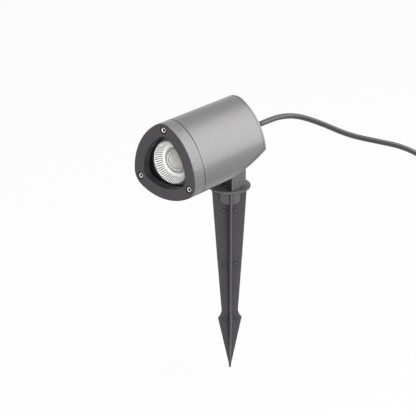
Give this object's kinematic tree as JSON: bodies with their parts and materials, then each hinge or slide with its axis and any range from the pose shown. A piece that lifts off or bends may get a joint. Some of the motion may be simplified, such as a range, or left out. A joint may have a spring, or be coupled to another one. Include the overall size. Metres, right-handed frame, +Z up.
{
  "type": "garden spike spotlight",
  "caption": "Garden spotlight: rounded-triangle metal head that tilts on a clevis and swivels on a cross-bladed ground spike, with glass front, reflector lamp, rubber lead and plug.",
  "frame": {"origin": "on the ground spike's axis at the soil line, which is the underside of the base disc", "axes": "+Z up, out of the ground; the lamp shines towards -Y at rest, its lead leaves towards +Y, and the tilt pivot lies along X"},
  "size_m": [0.1755, 0.6681, 0.3586],
  "materials": {
    "silver_aluminium": "satin silver anodised and powder-fine blasted",
    "bezel_grey": "fine-textured grey paint on die-cast aluminium",
    "stainless": "bright stainless steel",
    "clevis_grey": "matt dark grey paint",
    "spike_plastic": "moulded dark grey plastic",
    "friction_fibre": "pressed fibre",
    "black_rubber": "matt black rubber",
    "clear_glass": "toughened, polished",
    "black_baffle": "satin black paint",
    "lamp_metal": "ribbed die casting, polished",
    "lamp_lens": "clear moulded optic",
    "circuit_board": "white solder mask with a yellow light source",
    "pin_metal": "nickel-plated brass",
    "ceramic": "cream ceramic",
    "bracket_steel": "zinc-plated steel sheet",
    "terminal_plastic": "white moulded plastic",
    "terminal_brass": "plain brass",
    "brown_insulation": "brown wire insulation",
    "blue_insulation": "blue wire insulation",
    "green_yellow_insulation": "green and yellow wire insulation",
    "black_nylon": "moulded black nylon"
  },
  "bodies": {
    "spike": {"ground_spike": "spike_plastic", "spike_bolt": "stainless", "spike_nut": "stainless", "spike_washer": "stainless"},
    "base": {"swivel_base": "clevis_grey", "pivot_bolt": "stainless", "pivot_nut": "stainless", "friction_washers": "friction_fibre", "cord_run": "black_rubber", "cord_coil": "black_rubber", "cord_tail": "black_rubber", "coil_tie": "black_nylon", "plug_body": "black_rubber", "plug_sleeve": "black_rubber", "plug_pins": "pin_metal", "plug_earth_clips": "pin_metal"},
    "head": {"front_bezel": "bezel_grey", "bezel_screws": "stainless", "glass_gasket": "black_rubber", "front_glass": "clear_glass", "lamp_baffle": "black_baffle", "head_housing": "silver_aluminium", "bezel_gasket": "black_rubber", "rear_cover": "silver_aluminium", "rear_gasket": "black_rubber", "rear_screws": "stainless", "lamp_body": "lamp_metal", "lamp_lens": "lamp_lens", "led_board": "circuit_board", "lamp_pins": "pin_metal", "lamp_holder": "ceramic", "holder_bracket": "bracket_steel", "holder_screws": "stainless", "gland_body": "black_nylon", "gland_seal": "black_rubber", "gland_nut": "black_nylon", "bend_sleeve": "black_rubber", "inner_cable": "black_rubber", "terminal_block": "terminal_plastic", "terminal_screws": "terminal_brass", "live_core": "brown_insulation", "neutral_core": "blue_insulation", "earth_core": "green_yellow_insulation", "live_wire": "brown_insulation", "neutral_wire": "blue_insulation", "earth_screw": "terminal_brass", "earth_wire": "green_yellow_insulation"}
  },
  "joints": [
    {"name": "swivel", "type": "hinge", "parent": "spike", "child": "base", "pos_m": [0, 0, 0], "axis": [0, 0, 1], "range_deg": [-170, 170]},
    {"name": "tilt", "type": "hinge", "parent": "base", "child": "head", "pos_m": [0, -0.0031, 0.0316], "axis": [-1, 0, 0], "range_deg": [-10, 50], "deforming": ["cord_run"]}
  ]
}
